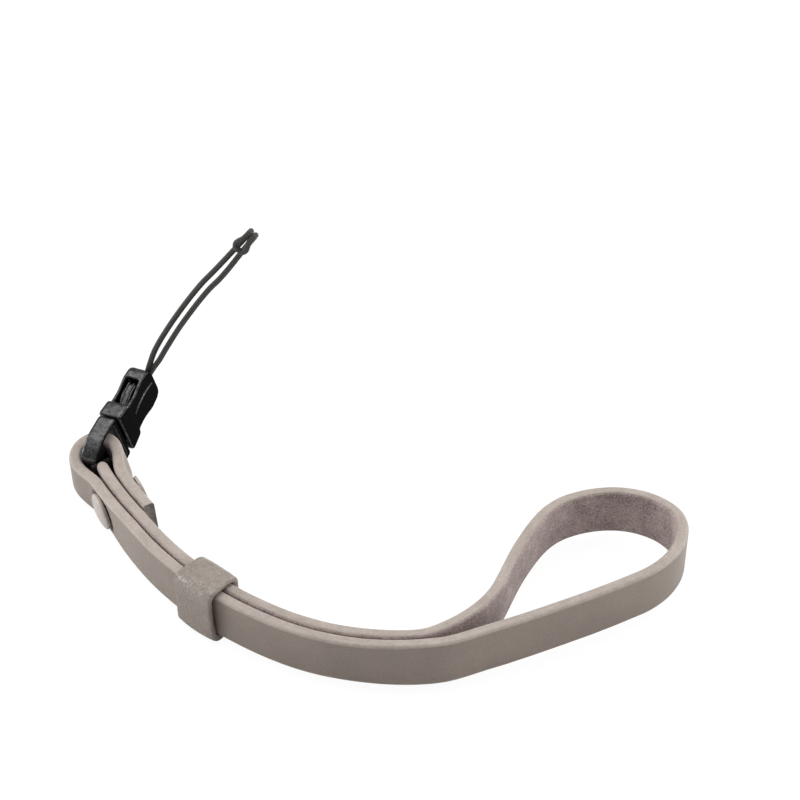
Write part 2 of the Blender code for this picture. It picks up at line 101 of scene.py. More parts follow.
class Paint:
    # one material and its nodes
    def __init__(self, name):
        self.material = bpy.data.materials.new(name)
        self.material.use_nodes = True
        self.tree = self.material.node_tree
        self.shader = self.tree.nodes["Principled BSDF"]

    def add(self, kind, settings=None, values=(), output=0):
        node = self.tree.nodes.new(kind)
        for key, value in (settings or {}).items():
            setattr(node, key, value)
        pairs = values.items() if isinstance(values, dict) else enumerate(values)
        for key, value in pairs:
            self.fill(node.inputs[key], value)
        return Wire(self, node.outputs[output])

    def fill(self, socket, value):
        if isinstance(value, Wire):
            self.tree.links.new(value.socket, socket)
        else:
            socket.default_value = value

    def place(self):
        return self.add("ShaderNodeTexCoord", output="Object")

    def noise(self, scale, detail, roughness, vector=None):
        return self.add("ShaderNodeTexNoise", None, {"Vector": vector or self.place(), "Scale": scale,
                                                     "Detail": detail, "Roughness": roughness})

    def cells(self, scale, feature, smooth=None):
        values = {"Vector": self.place(), "Scale": scale}
        if smooth is not None:
            values["Smoothness"] = smooth
        return self.add("ShaderNodeTexVoronoi", {"feature": feature}, values)

    def tone(self, share, dark, light):
        # colour between two colours: a Mix node takes them at sockets 6 and 7 and gives theirs at output 2
        first, second = [end if isinstance(end, Wire) else (*end, 1) for end in (dark, light)]
        values = {"Factor": share, 6: first, 7: second}
        return self.add("ShaderNodeMix", {"data_type": "RGBA"}, values, output=2)

    def range(self, value, low, high, newLow=0.0, newHigh=1.0):
        return self.add("ShaderNodeMapRange", {"clamp": True}, (value, low, high, newLow, newHigh))

    def bump(self, height, distance, strength):
        values = {"Height": height, "Distance": distance, "Strength": strength}
        return self.add("ShaderNodeBump", None, values)

    def attribute(self, name):
        return self.add("ShaderNodeAttribute", {"attribute_name": name}, output=2)

    def sine(self, turns):
        return self.add("ShaderNodeMath", {"operation": "SINE"}, (turns * fullTurn,))

    def finish(self, **values):
        names = {"color": "Base Color", "roughness": "Roughness", "metallic": "Metallic", "normal": "Normal",
                 "sheen": "Sheen Weight", "sheenRoughness": "Sheen Roughness",
                 "coat": "Coat Weight", "coatRoughness": "Coat Roughness", "coatIor": "Coat IOR",
                 "specular": "Specular IOR Level"}
        for key, value in values.items():
            self.fill(self.shader.inputs[names[key]], value)
        return self.material


# each pair is a dark and a light tone, and depths are in metres
leather = {"grain": ((0.167, 0.133, 0.110), (0.220, 0.178, 0.149)),
           "suede": ((0.168, 0.131, 0.121), (0.440, 0.358, 0.338)),
           "edge": ((0.238, 0.201, 0.175), (0.372, 0.320, 0.284)),
           "cut": ((0.125, 0.108, 0.096), (0.215, 0.190, 0.170)),
           "napDepth": 0.16 * mm, "cutDepth": 0.12 * mm, "stretch": (1.0, 0.07, 1.0)}


def grainHeight(paint):
    pores = paint.cells(1900, "SMOOTH_F1", smooth=0.35)
    return pores * 0.6 + paint.noise(2600, 3, 0.6) * 0.7 + paint.noise(420, 3, 0.6) * 0.8


def makeStrapLeather():
    # one hide: grain outside, suede inside and burnished edges between them, blended by the shares
    # that the strip's mesh carries
    paint = Paint("strapLeather")
    edge = paint.attribute("edgeShare")
    flesh = paint.attribute("fleshShare")
    lay = paint.add("ShaderNodeUVMap", {"uv_map": "lay"})
    drawn = paint.add("ShaderNodeVectorMath", {"operation": "MULTIPLY"}, (lay, leather["stretch"]))
    streaks = paint.noise(42, 4, 0.6, drawn)
    fibre = paint.noise(1400, 4, 0.65)
    patch = paint.noise(240, 3, 0.6)
    nap = paint.noise(3000, 4, 0.75)
    cloud = paint.noise(95, 4, 0.6)
    mottle = paint.range(cloud * 0.42 + paint.noise(2600, 4, 0.7) * 0.58, 0.36, 0.64)
    worn = paint.range(streaks * 0.30 + fibre * 0.40 + patch * 0.30, 0.34, 0.62)
    suede = paint.range(nap * 0.72 + paint.noise(260, 4, 0.6) * 0.28, 0.40, 0.60)
    face = paint.tone(mottle, *leather["grain"])
    sides = paint.tone(flesh, face, paint.tone(suede, *leather["suede"]))
    color = paint.tone(edge, sides, paint.tone(worn, *leather["edge"]))
    plain = 1 - edge
    height = (grainHeight(paint) * 0.25 * (plain - flesh * plain) + nap * flesh * plain * 0.6
              + (streaks * 0.5 + patch * 0.5 + fibre * 0.3) * edge)
    rough = paint.range(fibre, 0.3, 0.7, 0.50, 0.62) + flesh * 0.3
    return paint.finish(color=color, roughness=rough, sheen=0.1, sheenRoughness=0.5,
                        normal=paint.bump(height, leather["napDepth"], 0.75))


# the keeper shines from the first height up, and fully from the second
keeperFinish = {"tones": ((0.173, 0.143, 0.119), (0.250, 0.210, 0.178)), "shineHeights": (-0.0418, -0.0392),
                "shine": (0.15, 0.85), "shineRoughness": 0.27, "shineIor": 1.55, "roughness": (0.52, 0.30),
                "depth": 0.12 * mm}


def makeKeeperLeather():
    paint = Paint("keeperGrain")
    cloud = paint.noise(160, 4, 0.6)
    creases = paint.cells(2300, "DISTANCE_TO_EDGE")
    fine = paint.noise(1500, 3, 0.6)
    mottle = paint.range(cloud * 0.55 + fine * 0.45, 0.36, 0.62)
    lift = paint.range(creases, 0.0, 0.30)
    height = paint.add("ShaderNodeSeparateXYZ", None, (paint.place(),), output=2)
    upper = paint.range(height, *keeperFinish["shineHeights"])
    glints = upper * paint.range(paint.noise(2400, 2, 0.5), 0.46, 0.64, *keeperFinish["shine"])
    return paint.finish(color=paint.tone(mottle, *keeperFinish["tones"]),
                        roughness=paint.range(lift + fine * 0.4, 0.3, 1.2, *keeperFinish["roughness"]),
                        coat=glints, coatRoughness=keeperFinish["shineRoughness"],
                        coatIor=keeperFinish["shineIor"],
                        normal=paint.bump(lift * 0.7 + fine * 0.7, keeperFinish["depth"], 0.9))


def makeFlesh():
    # the keeper's inside
    paint = Paint("leatherFlesh")
    nap = paint.noise(1500, 5, 0.68)
    mottle = paint.range(nap * 0.6 + paint.noise(260, 4, 0.6) * 0.4, 0.38, 0.62)
    return paint.finish(color=paint.tone(mottle, *leather["suede"]), roughness=0.92, sheen=0.2,
                        sheenRoughness=0.5, normal=paint.bump(nap, leather["napDepth"], 0.8))


def makeCutEdge():
    # the strip's two cut ends
    paint = Paint("leatherCut")
    fibre = paint.noise(1300, 5, 0.65)
    mottle = paint.range(fibre * 0.5 + paint.noise(300, 3, 0.6) * 0.5, 0.36, 0.62)
    return paint.finish(color=paint.tone(mottle, *leather["cut"]), roughness=0.85,
                        normal=paint.bump(fibre, leather["cutDepth"], 0.7))


# the light tone is the colour of the painted sparkle
plastic = {"tones": ((0.006, 0.006, 0.006), (0.09, 0.09, 0.09)), "roughness": 0.42, "shine": (0.35, 1.0),
           "shineRoughness": 0.26, "shineIor": 1.75, "depth": 0.06 * mm}


def makePlastic():
    # the broad sides are duller than the narrow ones and the rounded corners, which also carry painted
    # sparkle
    paint = Paint("blackPlastic")
    glossAndSparkle = paint.attribute("glossAndSparkle")
    fine = paint.noise(2400, 3, 0.6)
    orange = paint.noise(800, 2, 0.5)
    # painted sparkle: light specks in the colour, only where the faces are glossy
    paintedSparkle = paint.range(paint.noise(2600, 2, 0.5), 0.64, 0.74)
    shine = glossAndSparkle * paint.range(orange * 0.5 + fine * 0.5, 0.38, 0.62, *plastic["shine"])
    return paint.finish(color=paint.tone(paintedSparkle * glossAndSparkle, *plastic["tones"]), roughness=plastic["roughness"],
                        specular=0.0, coat=shine, coatRoughness=plastic["shineRoughness"],
                        coatIor=plastic["shineIor"], normal=paint.bump(orange + fine, plastic["depth"], 0.9))


braid = {"tones": ((0.010, 0.009, 0.008), (0.045, 0.042, 0.037)), "roughness": 0.75, "depth": 0.06 * mm}


def makeCordBraid():
    # the carriers cross as two waves that run round the cord in opposite ways
    paint = Paint("cordBraid")
    uv = paint.add("ShaderNodeUVMap", {"uv_map": "lay"})
    about = paint.add("ShaderNodeSeparateXYZ", None, (uv,))
    along = paint.add("ShaderNodeSeparateXYZ", None, (uv,), output=1)
    weave = paint.sine(about + along) * paint.sine(about - along)
    fluff = paint.noise(3500, 3, 0.6)
    # partly painted shade: darker in the weave's hollows and lighter on its crests, with fluff whose tone
    # differs at random
    share = paint.range(weave * 0.5 + fluff * 0.6, -0.3, 0.9)
    return paint.finish(color=paint.tone(share, *braid["tones"]), roughness=braid["roughness"], sheen=0.15,
                        sheenRoughness=0.4, normal=paint.bump(weave + fluff * 0.5, braid["depth"], 0.8))


rivetFinish = {"tones": ((0.365, 0.322, 0.290), (0.440, 0.395, 0.358)), "worn": (0.4, 0.37, 0.34),
               "wear": 0.35, "roughness": (0.36, 0.48), "depth": 0.03 * mm}


def makeRivetPaint():
    paint = Paint("rivetPaint")
    fine = paint.noise(1800, 3, 0.6)
    cloud = paint.noise(300, 3, 0.6)
    wear = paint.range(paint.noise(520, 4, 0.6), 0.62, 0.7)
    color = paint.tone(paint.range(cloud, 0.35, 0.65), *rivetFinish["tones"])
    worn = paint.tone(wear * rivetFinish["wear"], color, rivetFinish["worn"])
    return paint.finish(color=worn, metallic=0.1,
                        roughness=paint.range(cloud, 0.35, 0.65, *rivetFinish["roughness"]),
                        normal=paint.bump(fine + cloud, rivetFinish["depth"], 0.5))


strapLeather = makeStrapLeather()
keeperLeather = makeKeeperLeather()
fleshLeather = makeFlesh()
cutLeather = makeCutEdge()
plasticBlack = makePlastic()
cordBraid = makeCordBraid()
rivetPaint = makeRivetPaint()
print("materials made")


# Shared helpers

roundedAngle = math.radians(50)  # a corner under this angle is shaded as round


def deselectAll():
    if bpy.context.object and bpy.context.object.mode != "OBJECT":
        bpy.ops.object.mode_set(mode="OBJECT")
    bpy.ops.object.select_all(action="DESELECT")


def addGrid(name, columns, rows):
    # flat grid, to be wrapped round a section by its columns and along a route by its rows
    deselectAll()
    bpy.ops.mesh.primitive_grid_add(x_subdivisions=columns, y_subdivisions=rows, size=1)
    piece = bpy.context.object
    piece.name = name
    return piece


def gridPlace(vert, columns, rows):
    return round((vert.co.x + 0.5) * columns), round((vert.co.y + 0.5) * rows)


def weld(gap):
    # merges doubles and leaves the piece in edit mode
    bpy.ops.object.mode_set(mode="EDIT")
    bpy.ops.mesh.select_all(action="SELECT")
    bpy.ops.mesh.remove_doubles(threshold=gap)


def closeEnds():
    # fills a tube's two open ends, which are then the only faces selected
    bpy.ops.mesh.select_all(action="DESELECT")
    bpy.ops.mesh.select_mode(type="EDGE")
    bpy.ops.mesh.select_non_manifold()
    bpy.ops.mesh.edge_face_add()


def turnFacesOut():
    bpy.ops.mesh.select_all(action="SELECT")
    bpy.ops.mesh.normals_make_consistent(inside=False)
    bpy.ops.object.mode_set(mode="OBJECT")


def applyModifiers(piece):
    deselectAll()
    piece.select_set(True)
    bpy.context.view_layer.objects.active = piece
    for modifier in list(piece.modifiers):
        bpy.ops.object.modifier_apply(modifier=modifier.name)


def smoothStep(share):
    share = min(max(share, 0.0), 1.0)
    return share * share * (3 - 2 * share)


def hermite(start, startSlope, end, endSlope, share):
    s2, s3 = share * share, share ** 3
    return (start * (2 * s3 - 3 * s2 + 1) + startSlope * (s3 - 2 * s2 + share)
            + end * (3 * s2 - 2 * s3) + endSlope * (s3 - s2))


# Lay of the strap, the same as in the CAD, in metres

strip = {"width": 0.0092, "thickness": 0.0022, "neckWidth": 0.0082, "taper": 0.038, "foot": -0.0485,
         "lean": math.radians(5), "gap": 0.0003}
run = {"firstCentre": (0.028, -0.0255), "firstRadius": 0.041, "secondRadius": 0.0711,
       "layersPart": math.radians(-14), "arcsMeet": math.radians(27.1), "leanFull": math.radians(10),
       "neckStart": math.radians(56), "loopEnd": math.radians(-8)}
fold = {"radius": 0.004, "spread": 0.008, "underlay": 0.0028, "tail": 0.0206, "turn": math.radians(48),
        "twist": math.radians(3), "offset": (0.00025, -0.0006, -0.0004), "flare": math.radians(8),
        "flareLength": 0.015, "flareTurn": math.radians(135)}
buckle = {"bar": (-0.02715, -0.01283, -0.0431), "heading": math.radians(67.3), "climb": math.radians(22.9),
          "roll": math.radians(-3.65), "top": 0.0200}
# the hand loop's outer face from where the layers part: x and y in mm, and the heading in degrees
handLoop = ((47.0, -61.4, 27), (62.9, -52.3, 31), (74.0, -45.0, 35), (82.4, -33.1, 76),
            (81.3, -23.9, 125), (70.5, -18.5, 180), (60.3, -21.7, 213), (51.4, -35.1, 247),
            (47.0, -47.9, 250), (38.5, -59.0, 218))

buckleFrame = (Matrix.Translation(buckle["bar"]) @ Matrix.Rotation(buckle["heading"] - math.pi / 2, 4, "Z")
               @ Matrix.Rotation(buckle["climb"], 4, "X") @ Matrix.Rotation(buckle["roll"], 4, "Y"))
buckleAxes = buckleFrame.to_3x3()
barAxis = buckleAxes @ Vector((0, 0, 1))
broadAxis = buckleAxes @ Vector((1, 0, 0))
foldCentre = buckleFrame @ Vector(fold["offset"])
foldAlong = buckleAxes @ Vector((-math.sin(fold["turn"]), math.cos(fold["turn"]), 0))
foldAcross = Matrix.Rotation(fold["twist"], 3, foldAlong) @ barAxis

layerPitch = strip["thickness"] + strip["gap"]
outerFace = layerPitch + strip["thickness"] / 2
spineInset = outerFace * math.cos(strip["lean"]) - (strip["width"] / 2) * math.sin(strip["lean"])
firstRadius = run["firstRadius"] - spineInset
secondRadius = run["secondRadius"] - spineInset


def outward(angle):
    return Vector((-math.sin(angle), -math.cos(angle), 0))


firstCentre = Vector((*run["firstCentre"], strip["foot"]))
secondCentre = firstCentre - outward(run["arcsMeet"]) * (secondRadius - firstRadius)


def runFrame(angle):
    out = outward(angle)
    onFirst = angle < run["arcsMeet"]
    centre, radius = (firstCentre, firstRadius) if onFirst else (secondCentre, secondRadius)
    lean = strip["lean"] * smoothStep((angle - run["layersPart"]) / (run["leanFull"] - run["layersPart"]))
    height = (strip["width"] / 2) * math.cos(lean) + outerFace * math.sin(lean)
    along = Vector((-math.cos(angle), math.sin(angle), 0))
    return centre + out * radius + up * height, along, out * math.sin(lean) + up * math.cos(lean)


neckStart, neckStartAlong, neckStartAcross = runFrame(run["neckStart"])
neckLength = (foldCentre - neckStart).length
neckAhead = 0.01  # share of the neck to the point that gives its direction


def neckPlace(share):
    return hermite(neckStart, neckStartAlong * neckLength, foldCentre, foldAlong * neckLength, share)


def neckFrame(reach):
    share = 1 - reach / neckLength
    place = neckPlace(share)
    along = (neckPlace(share + neckAhead) - place).normalized()
    across = neckStartAcross.lerp(foldAcross, smoothStep(share))
    return place, along, (across - along * across.dot(along)).normalized()


def outSide(along, across):
    return across.cross(along).normalized()


def layerSpread(reach):
    return layerPitch + (fold["radius"] - layerPitch) * smoothStep(1 - reach / fold["spread"])


def neckWidth(reach):
    return strip["neckWidth"] + (strip["width"] - strip["neckWidth"]) * smoothStep(reach / strip["taper"])


def flared(place, across, normal, width, angle):
    # turns the strip about its upper edge, so that its lower edge moves along the normal
    lean = normal * math.sin(angle)
    return place + lean * (width / 2), (across * math.cos(angle) - lean).normalized(), width


def neckStations(side, fromReach, toReach, step=0.35 * mm):
    count = max(2, round(abs(fromReach - toReach) / step) + 1)
    for reach in np.linspace(fromReach, toReach, count):
        place, along, across = neckFrame(reach)
        normal = outSide(along, across)
        spread = side * (layerSpread(reach) if side else 0)
        flare = fold["flare"] * smoothStep(1 - reach / fold["flareLength"]) if side > 0 else 0
        yield flared(place + normal * spread, across, normal, neckWidth(reach), flare)


def runStations(side, fromAngle, toAngle, step=math.radians(0.6)):
    for angle in np.linspace(fromAngle, toAngle, round(abs(toAngle - fromAngle) / step) + 1):
        place, along, across = runFrame(angle)
        width = neckWidth(neckLength + (run["neckStart"] - angle) * secondRadius)
        yield place + outSide(along, across) * (side * layerPitch), across, width


def foldStations(count=33):
    start, along, across = neckFrame(0)
    side = outSide(along, across)
    for turn in np.linspace(-math.pi / 2, math.pi / 2, count)[1:-1]:
        normal = side * math.sin(turn) + along * math.cos(turn)
        flare = fold["flare"] * smoothStep((turn + math.pi / 2) / fold["flareTurn"])
        yield flared(start + normal * fold["radius"], across, normal, strip["neckWidth"], flare)


def loopStations(step=0.6 * mm):
    height = strip["foot"] + strip["width"] / 2
    place, along, across = runFrame(run["layersPart"])
    start = place + outSide(along, across) * layerPitch
    knots = [(Vector((start.x, start.y, height)), -run["layersPart"])]
    for x, y, degrees in handLoop:
        heading = math.radians(degrees)
        inset = Vector((-math.sin(heading), math.cos(heading), 0)) * (strip["thickness"] / 2)
        knots.append((Vector((x * mm, y * mm, height)) + inset, heading))
    knots.append((runFrame(run["loopEnd"])[0], math.pi - run["loopEnd"]))
    for (begin, beginHeading), (end, endHeading) in zip(knots, knots[1:]):
        turn = endHeading - beginHeading
        reach = (end - begin).length * (1 + turn * turn / 24)  # about an arc's length over its chord
        beginSlope = Vector((math.cos(beginHeading), math.sin(beginHeading), 0)) * reach
        endSlope = Vector((math.cos(endHeading), math.sin(endHeading), 0)) * reach
        count = max(3, round(reach / step))
        for share in np.arange(1, count + 1) / count:
            yield hermite(begin, beginSlope, end, endSlope, share), up, strip["width"]


def stripStations():
    stations = list(neckStations(-1, fold["tail"], 0))
    stations += foldStations()
    stations += neckStations(1, 0, neckLength)
    stations += list(runStations(1, run["neckStart"], run["layersPart"]))[1:]
    stations += loopStations()
    stations += list(runStations(0, run["loopEnd"], run["neckStart"]))[1:]
    stations += list(neckStations(0, neckLength, fold["underlay"]))[1:]
    return stations


# Cord, made before the other pieces

cord = {"diameter": 0.0011, "spacing": 0.00175, "mouthSpacing": 0.0011, "pocket": 0.0026, "eye": 0.0013,
        "drop": 0.0025, "around": 20, "ring": 0.00022, "bulge": 0.04 * mm, "together": 0.45,
        "strandStep": 2.6, "hitchStep": 0.75, "carriers": 4, "pitch": 0.9 * mm, "weld": 0.000002}
# sideways places of the hitch in mm: at its tails, round its eye and at the crossing in front
hitchWide = {"tail": 0.62, "back": 0.58, "top": 0.57, "front": 0.64, "shoulder": 1.12, "crossing": 0.75}
hitchShoulder = 0.9 * mm  # rise of the hitch's shoulders over the crossing
# middle between the two strands, from the buckle up, in mm
cordRoute = ((-18.3, 3.4, -30.8), (-16.7, 3.0, -27.0), (-14.1, 2.5, -21.8),
             (-11.2, 2.0, -16.7), (-8.3, 1.5, -12.1), (-5.4, 1.0, -8.2))
cordFacing = Vector((-0.27, -0.94, 0.20)).normalized()
cordEnd = buckleFrame @ Vector((0, buckle["top"] - cord["pocket"] + strip["gap"], 0))


def smoothThrough(points, step, spanSteps=12):
    # points at an even step along a smooth line through the given ones
    ends = [points[0] * 2 - points[1], *points, points[-1] * 2 - points[-2]]
    fine = []
    for index in range(1, len(ends) - 2):
        a, b, c, d = ends[index - 1:index + 3]
        for share in np.linspace(0, 1, spanSteps, endpoint=False):
            fine.append(hermite(b, (c - a) / 2, c, (d - b) / 2, share))
    fine.append(points[-1])
    lengths = np.concatenate(([0], np.cumsum([(q - p).length for p, q in zip(fine, fine[1:])])))
    count = max(2, round(lengths[-1] / step)) + 1
    wanted = np.linspace(0, lengths[-1], count)
    return [Vector([float(np.interp(at, lengths, [p[axis] for p in fine])) for axis in range(3)])
            for at in wanted]


def cordPoints():
    route = [Vector(point) * mm for point in cordRoute]
    top = buckleFrame @ Vector((0, buckle["top"], 0))
    hitchAlong = (-route[-1]).normalized()
    facing = (cordFacing - hitchAlong * cordFacing.dot(hitchAlong)).normalized()
    sideways = hitchAlong.cross(facing)
    eye, drop = cord["eye"], cord["drop"]

    def hitch(wide, front, along):
        return sideways * wide + facing * front + hitchAlong * along

    def strand(side):
        rising = [route[index + 1] - route[index] for index in range(len(route) - 1)] + [-route[-1]]
        aside = barAxis * (side * cord["mouthSpacing"] / 2)
        outer = [cordEnd - aside, top - aside, top.lerp(route[0], cord["together"]) - aside]
        for place, direction in zip(route, rising):
            spread = cord["spacing"]
            if place is route[0]:
                spread = (spread + cord["mouthSpacing"]) / 2
            outer.append(place + direction.cross(cordFacing).normalized() * (side * spread / 2))
        return outer

    def across(side, part):
        return side * hitchWide[part] * mm

    def tail(side):
        return [hitch(across(side, "tail"), -0.5 * eye, -drop)]

    def wrap(side):
        return [hitch(across(side, "back"), -eye, 0), hitch(across(side, "top"), 0, eye),
                hitch(across(side, "front"), eye, 0),
                hitch(across(side, "shoulder"), eye, -drop + hitchShoulder)]

    crossing = [hitch(across(side, "crossing"), eye, -drop) for side in (-1, 1)]
    hitchPoints = tail(-1) + wrap(-1) + crossing + wrap(1)[::-1] + tail(1)
    strandStep = cord["strandStep"] * cord["diameter"]
    upPart = smoothThrough(strand(-1) + hitchPoints[:1], strandStep)
    knot = smoothThrough(hitchPoints, cord["hitchStep"] * cord["diameter"])
    downPart = smoothThrough(hitchPoints[-1:] + strand(1)[::-1], strandStep)
    return upPart[:-1] + knot + downPart[1:]


def makeCord():
    route = cordPoints()
    fine = smoothThrough(route, cord["ring"])
    rings, around = len(fine), cord["around"]
    tube = addGrid("braidedCord", around, rings - 1)
    mesh = tube.data
    tangents = [(fine[min(i + 1, rings - 1)] - fine[max(i - 1, 0)]).normalized() for i in range(rings)]
    side = tangents[0].orthogonal().normalized()
    sides = []
    for tangent in tangents:
        side = (side - tangent * side.dot(tangent)).normalized()
        sides.append(side)
    lay = mesh.uv_layers[0]
    lay.name = "lay"
    places = {}
    for vert in mesh.vertices:
        column, row = places[vert.index] = gridPlace(vert, around, rings - 1)
        angle = fullTurn * column / around
        carrier = cord["carriers"] * angle
        lead = fullTurn * row * cord["ring"] / cord["pitch"]
        bulge = cord["bulge"] * math.sin(carrier + lead) * math.sin(carrier - lead)
        other = tangents[row].cross(sides[row])
        offset = (sides[row] * math.cos(angle) + other * math.sin(angle)) * (cord["diameter"] / 2 + bulge)
        vert.co = fine[row] + offset
    for loop in mesh.loops:
        column, row = places[loop.vertex_index]
        lay.data[loop.index].uv = (cord["carriers"] * column / around, row * cord["ring"] / cord["pitch"])
    weld(cord["weld"])
    closeEnds()
    turnFacesOut()
    bpy.ops.object.shade_smooth()
    mesh.materials.append(cordBraid)
    length = sum((b - a).length for a, b in zip(route, route[1:]))
    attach(tube, "strap")
    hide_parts("cord_loop")
    [tuple(point) for point in route]


makeCord()
print("cord made")


# Strap

hide = {"corner": 0.00058, "faceSteps": 20, "arcSteps": 6, "edgeSteps": 3, "blend": 0.00022,
        "wave": 0.00004, "waveAlong": 260, "waveAround": 400, "faceWave": 0.5, "tipLength": 0.0016,
        "tipThin": 0.45, "suedeCorner": 0.6, "suedeSlope": 1.6, "grainPerMetre": 100,
        "cutInset": 0.00012, "cutDepth": 0.00008, "weld": 0.000001}
rivet = {"reach": 0.0115, "cap": 0.0036, "sink": 0.0003, "shoulder": 0.0008, "groove": 0.0007,
         "margin": 0.2 * mm, "skinBelow": 0.4 * mm, "skinAbove": 2 * mm, "grooveWall": 0.5 * mm}


def hideOutline(wide, thick):
    # points round the strip's section, from the corner of its grain side and upper edge; the middles of the
    # corners' arcs are at the given half width and half thickness
    corners = ((1, 1), (1, -1), (-1, -1), (-1, 1))
    points = []
    for quarter, (sideWide, sideThick) in enumerate(corners):
        acrossFace = quarter % 2 == 1
        for step in range(hide["arcSteps"] + 1):
            turn = math.pi / 2 * step / hide["arcSteps"]
            if acrossFace:
                turn = math.pi / 2 - turn
            points.append((sideWide * (wide + hide["corner"] * math.sin(turn)),
                           sideThick * (thick + hide["corner"] * math.cos(turn))))
        nextWide, nextThick = corners[(quarter + 1) % 4]
        steps = hide["faceSteps"] if acrossFace else hide["edgeSteps"]
        start = points[-1]
        end = (nextWide * wide, start[1]) if acrossFace else (start[0], nextThick * thick)
        for step in range(1, steps):
            share = step / steps
            points.append((start[0] + (end[0] - start[0]) * share, start[1] + (end[1] - start[1]) * share))
    return points


def hideProfile(width, thickness):
    # each point's place across and through the strip, and its shares of edge and of suede
    wide, thick = width / 2 - hide["corner"], thickness / 2 - hide["corner"]
    profile = []
    for across, through in hideOutline(wide, thick):
        edgeFrom = wide if through > 0 else wide + hide["corner"] * hide["suedeCorner"]
        edge = smoothStep((abs(across) - edgeFrom) / hide["blend"])
        flesh = smoothStep(0.5 - through / thickness * hide["suedeSlope"])
        profile.append((across, through, edge, flesh))
    return profile


def pressRivetBeds(mesh):
    # the caps press the leather in around the rivet
    place, along, across = neckFrame(rivet["reach"])
    out = outSide(along, across)
    seat = layerSpread(rivet["reach"]) + strip["thickness"] / 2 - rivet["sink"]
    bedRadius = rivet["cap"] + rivet["shoulder"] + rivet["margin"]
    wall = rivet["grooveWall"]
    for vert in mesh.vertices:
        offset = vert.co - place
        height = offset.dot(out)
        if abs(height) < seat - rivet["skinBelow"] or abs(height) > seat + rivet["skinAbove"]:
            continue
        radius = (offset - out * height).length
        if radius > bedRadius:
            continue
        rim = abs(offset.dot(across)) - strip["neckWidth"] / 2 + rivet["shoulder"] + hide["corner"]
        press = smoothStep((bedRadius - radius) / rivet["shoulder"])
        press *= 1 - smoothStep(rim / rivet["shoulder"])
        groove = rivet["groove"] * smoothStep((radius - rivet["cap"] + wall) / wall)
        target = min(abs(height), seat - groove) * (1 if height > 0 else -1)
        vert.co += out * (target - height) * press


def rowProfiles(stations, lengths):
    # the section at each station; the strip thins towards its last end
    made = {}
    profiles = []
    for (place, across, width), length in zip(stations, lengths):
        toTip = lengths[-1] - length
        tip = math.sqrt(max(0.0, 1 - max(0.0, 1 - toTip / hide["tipLength"]) ** 2))
        thickness = strip["thickness"] * (hide["tipThin"] + (1 - hide["tipThin"]) * tip)
        key = (round(width, 7), round(thickness, 7))
        if key not in made:
            made[key] = hideProfile(width, thickness)
        profiles.append(made[key])
    return profiles


def wrapStrip(mesh, stations, lengths):
    # bends the flat grid into the strip and gives each point its shares and its lay
    profiles = rowProfiles(stations, lengths)
    around, rows = len(profiles[0]), len(stations) - 1
    edgeShare = mesh.attributes.new("edgeShare", "FLOAT", "POINT")
    fleshShare = mesh.attributes.new("fleshShare", "FLOAT", "POINT")
    places = {}
    for vert in mesh.vertices:
        column, row = places[vert.index] = gridPlace(vert, around, rows)
        place, across, width = stations[row]
        ahead = stations[min(row + 1, rows)][0] - stations[max(row - 1, 0)][0]
        outside = across.cross(ahead).normalized()
        wide, through, edge, flesh = profiles[row][column % around]
        spot = (lengths[row] * hide["waveAlong"], wide * hide["waveAround"], through * hide["waveAround"])
        ripple = noise.noise(Vector(spot)) * hide["wave"]
        lean = (1 if wide > 0 else -1) * edge
        rise = ripple * (1 - edge) * hide["faceWave"]
        vert.co = place + across * (wide + ripple * lean) - outside * (through + rise)
        edgeShare.data[vert.index].value = edge
        fleshShare.data[vert.index].value = flesh
    lay = mesh.uv_layers[0]
    lay.name = "lay"
    girth = 2 * (strip["width"] + strip["thickness"])
    for loop in mesh.loops:
        column, row = places[loop.vertex_index]
        lay.data[loop.index].uv = (girth * column / around * hide["grainPerMetre"],
                                   lengths[row] * hide["grainPerMetre"])


def makeStrap():
    stations = stripStations()
    lengths = [0.0]
    for first, second in zip(stations, stations[1:]):
        lengths.append(lengths[-1] + (second[0] - first[0]).length)
    around = len(hideProfile(strip["width"], strip["thickness"]))
    piece = addGrid("leatherStrip", around, len(stations) - 1)
    mesh = piece.data
    wrapStrip(mesh, stations, lengths)
    mesh.materials.append(strapLeather)
    mesh.materials.append(cutLeather)
    weld(hide["weld"])
    closeEnds()
    piece.active_material_index = 1
    bpy.ops.object.material_slot_assign()
    bpy.ops.mesh.inset(thickness=hide["cutInset"], depth=hide["cutDepth"])
    turnFacesOut()
    pressRivetBeds(mesh)
    bpy.ops.object.shade_smooth_by_angle(angle=roundedAngle)
    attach(piece, "strap")
    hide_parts("hand_strap")


makeStrap()
print("strap made")


# Keeper

keeper = {"length": 0.009, "thickness": 0.0011, "corner": 0.0020, "angle": math.radians(40.8), "around": 96,
          "rows": 20, "crown": 0.07, "mouth": 0.0005, "mouthFrom": -0.9, "lip": 0.0005, "lipSteps": 4,
          "lipAngle": math.radians(60), "weld": 0.000005}


def roundedPoint(share, halfWide, halfHigh, corner):
    # point on a rounded box at a share of the way round
    straightWide, straightHigh = 2 * (halfWide - corner), 2 * (halfHigh - corner)
    arc = corner * math.pi / 2
    left = share * (2 * straightWide + 2 * straightHigh + 4 * arc)
    heading, x, y = math.pi / 2, halfWide, -(halfHigh - corner)
    for straight in (straightHigh, straightWide, straightHigh, straightWide):
        if left <= straight:
            return x + left * math.cos(heading), y + left * math.sin(heading)
        x, y, left = x + straight * math.cos(heading), y + straight * math.sin(heading), left - straight
        turn = min(left, arc) / corner
        x += corner * (math.sin(heading + turn) - math.sin(heading))
        y -= corner * (math.cos(heading + turn) - math.cos(heading))
        heading, left = heading + turn, left - arc
        if left <= 0:
            return x, y
    return x, y


